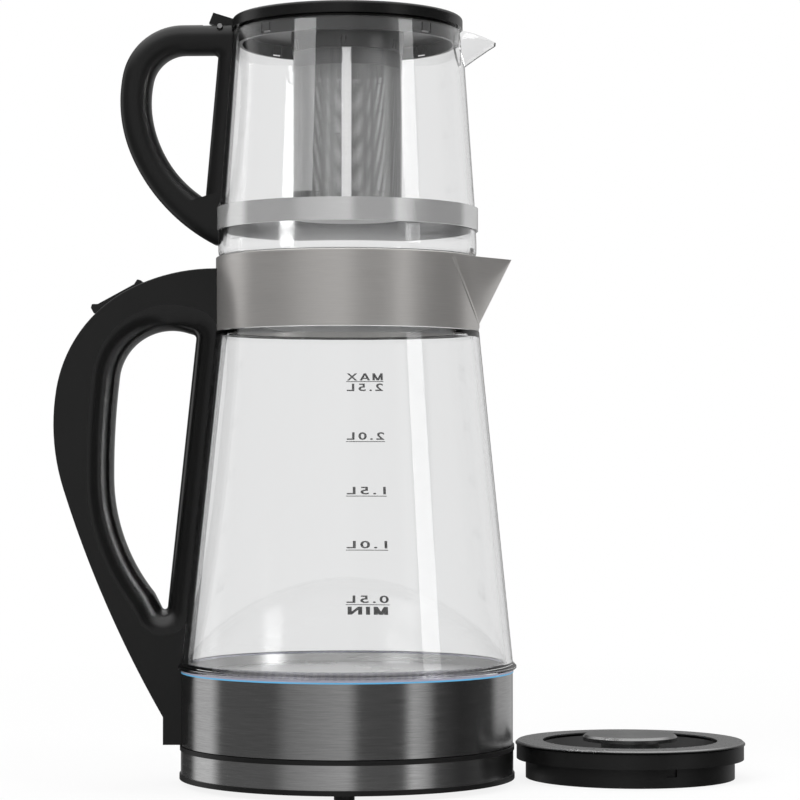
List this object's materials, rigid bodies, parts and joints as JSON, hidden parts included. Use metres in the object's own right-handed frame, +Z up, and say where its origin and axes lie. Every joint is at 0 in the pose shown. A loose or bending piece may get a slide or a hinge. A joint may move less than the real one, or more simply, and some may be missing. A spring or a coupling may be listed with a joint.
{
  "type": "electric tea maker",
  "caption": "Glass kettle on a round power base with a glass teapot seated on its collar, a mesh infuser under the teapot's lid, and the kettle's flat lid beside it.",
  "frame": {"origin": "on the counter under the middle of the power base, in the plane of its feet", "axes": "+Z up along the kettle's axis, +X towards the pouring spouts, -X to the handles"},
  "size_m": [0.3533, 0.1718, 0.3921],
  "materials": {
    "black_plastic": "moulded black, satin",
    "gloss_black": "polished black",
    "brushed_steel": "brushed round the axis",
    "collar_steel": "satin warm grey",
    "polished_steel": "polished",
    "mesh_steel": "fine woven wire",
    "clear_glass": "clear",
    "silicone": "translucent",
    "black_rubber": "matte",
    "light_blue": "diffusing",
    "brass": "machined",
    "aluminium": "cast",
    "board": "lacquered board",
    "cream_plastic": "moulded",
    "lid_steel": "satin dark grey"
  },
  "bodies": {
    "power_base": {"base_feet": "black_rubber", "base_shell": "black_plastic", "base_trim_ring": "brushed_steel", "base_top_plate": "black_plastic", "base_socket": "black_plastic", "socket_contact_rings": "brass", "base_screws": "polished_steel", "base_cord_gland": "black_rubber"},
    "connector": {"kettle_connector": "black_plastic", "connector_pins": "brass"},
    "kettle": {"body_band": "brushed_steel", "kettle_bottom_cover": "black_plastic", "bottom_cover_screws": "polished_steel", "kettle_chassis": "cream_plastic", "light_ring": "light_blue", "led_board": "board", "led_lamps": "light_blue", "heater_plate": "polished_steel", "heat_spreader": "aluminium", "heating_element": "brushed_steel", "element_terminals": "brass", "thermostat_control": "cream_plastic", "glass_base_gasket": "silicone", "kettle_glass": "clear_glass", "glass_top_gasket": "silicone", "collar_band": "collar_steel", "collar_liner": "cream_plastic", "pouring_spout": "collar_steel", "kettle_handle_shell": "black_plastic", "kettle_handle_grip": "gloss_black", "rocker_pin": "polished_steel", "switch_module": "cream_plastic", "handle_wires": "black_rubber", "handle_screws": "polished_steel"},
    "rocker": {"handle_rocker": "gloss_black"},
    "teapot": {"teapot_glass": "clear_glass", "teapot_band": "polished_steel", "teapot_handle": "gloss_black"},
    "infuser": {"infuser_ring": "black_plastic", "lid_hinge_pin": "polished_steel", "infuser_collar": "black_plastic", "infuser_mesh": "mesh_steel", "infuser_base": "polished_steel"},
    "lid": {"teapot_lid": "black_plastic", "teapot_lid_gasket": "silicone"},
    "kettle_lid": {"kettle_lid_body": "black_plastic", "kettle_lid_plate": "lid_steel", "kettle_lid_knob": "lid_steel", "kettle_lid_screws": "polished_steel"}
  },
  "joints": [
    {"name": "kettle_lift", "type": "slide", "parent": "power_base", "child": "connector", "axis": [0, 0, 1], "range_m": [0, 0.12]},
    {"name": "kettle_swivel", "type": "hinge", "parent": "connector", "child": "kettle", "pos_m": [0, 0, 0.02], "axis": [0, 0, 1], "continuous": true},
    {"name": "rocker_tilt", "type": "hinge", "parent": "kettle", "child": "rocker", "pos_m": [-0.11563, 0, 0.2446], "axis": [0, 1, 0], "range_deg": [-7, 7]},
    {"name": "teapot_lift", "type": "slide", "parent": "kettle", "child": "teapot", "axis": [0, 0, 1], "range_m": [0, 0.12]},
    {"name": "infuser_lift", "type": "slide", "parent": "teapot", "child": "infuser", "axis": [0, 0, 1], "range_m": [0, 0.12]},
    {"name": "teapot_lid_hinge", "type": "hinge", "parent": "infuser", "child": "lid", "pos_m": [-0.06484, 0, 0.3843], "axis": [0, -1, 0], "range_deg": [0, 75]},
    {"name": "kettle_lid_lift", "type": "slide", "parent": "power_base", "child": "kettle_lid", "axis": [0, 0, 1], "range_m": [0, 0.12]}
  ]
}
